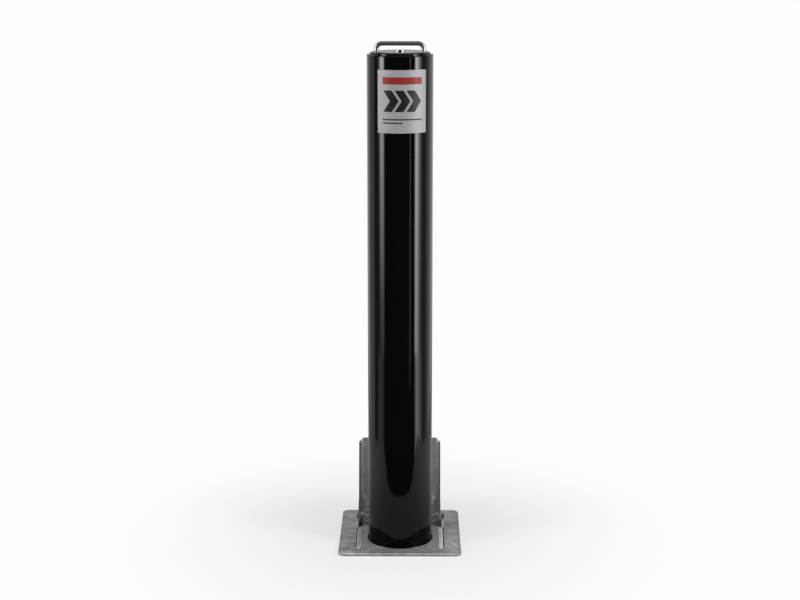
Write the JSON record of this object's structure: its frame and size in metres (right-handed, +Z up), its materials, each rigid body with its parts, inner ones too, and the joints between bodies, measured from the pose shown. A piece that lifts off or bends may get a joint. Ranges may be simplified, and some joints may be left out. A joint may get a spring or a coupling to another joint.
{
  "type": "removable bollard",
  "caption": "Black steel bollard post that lifts out of a galvanised ground socket, with a lift handle, a key lock on top and a hinged lid behind.",
  "frame": {"origin": "on the post's axis, level with the underside of the ground flange, where the ground is", "axes": "+Z up the post, +Y towards the lid, +X to the right when the lid is behind the post"},
  "size_m": [0.219, 0.219, 1.2166],
  "materials": {
    "black_paint": "gloss black powder coat",
    "label_silver": "satin silver, bare",
    "lock_chrome": "polished",
    "lock_brass": "turned",
    "handle_steel": "polished stainless",
    "galvanised_steel": "hot-dip galvanised, mottled",
    "bright_zinc": "bright zinc, rubbed",
    "plain_steel": "bright drawn steel",
    "raw_steel": "hot rolled",
    "ring_plastic": "satin black",
    "nylon": "natural nylon"
  },
  "bodies": {
    "socket": {"anchor_bar_1": "raw_steel", "anchor_bar_2": "raw_steel", "anchor_bar_3": "raw_steel", "anchor_bar_4": "raw_steel", "ground_flange": "galvanised_steel", "guide_ring": "ring_plastic", "hinge_leaf": "galvanised_steel", "hinge_pin": "bright_zinc", "keeper_plate": "galvanised_steel", "pin_clip_left": "bright_zinc", "pin_clip_right": "bright_zinc", "rest_bar_left": "bright_zinc", "rest_bar_right": "bright_zinc", "slot_pocket_left": "galvanised_steel", "slot_pocket_right": "galvanised_steel", "socket_floor": "galvanised_steel", "socket_sleeve": "galvanised_steel"},
    "post": {"foot_bush": "nylon", "foot_plate": "galvanised_steel", "handle_sleeve_left": "plain_steel", "handle_sleeve_right": "plain_steel", "label_plate": "label_silver", "lock_housing": "lock_chrome", "post_tube": "black_paint", "rod_bush_lower": "nylon", "rod_bush_upper": "nylon", "rod_guide_lower": "plain_steel", "rod_guide_upper": "plain_steel", "top_cap": "black_paint"},
    "handle": {"handle_collar_left": "plain_steel", "handle_collar_right": "plain_steel", "lift_handle": "handle_steel"},
    "lock": {"bar_nut": "plain_steel", "coupler_pin": "plain_steel", "lock_plug": "lock_brass", "lock_rod": "plain_steel", "locking_bar": "plain_steel", "rod_coupler": "plain_steel"},
    "lid": {"hinged_lid": "galvanised_steel"}
  },
  "joints": [
    {"name": "post_lift", "type": "slide", "parent": "socket", "child": "post", "axis": [0, 0, 1], "range_m": [0, 0.3]},
    {"name": "handle_lift", "type": "slide", "parent": "post", "child": "handle", "axis": [0, 0, 1], "range_m": [0, 0.035]},
    {"name": "lock_turn", "type": "hinge", "parent": "post", "child": "lock", "pos_m": [0, 0, 0.8836], "axis": [0, 0, 1], "range_deg": [0, 90]},
    {"name": "lid_fold", "type": "hinge", "parent": "socket", "child": "lid", "pos_m": [0, 0.084, 0.0125], "axis": [1, 0, 0], "range_deg": [0, 23]}
  ]
}
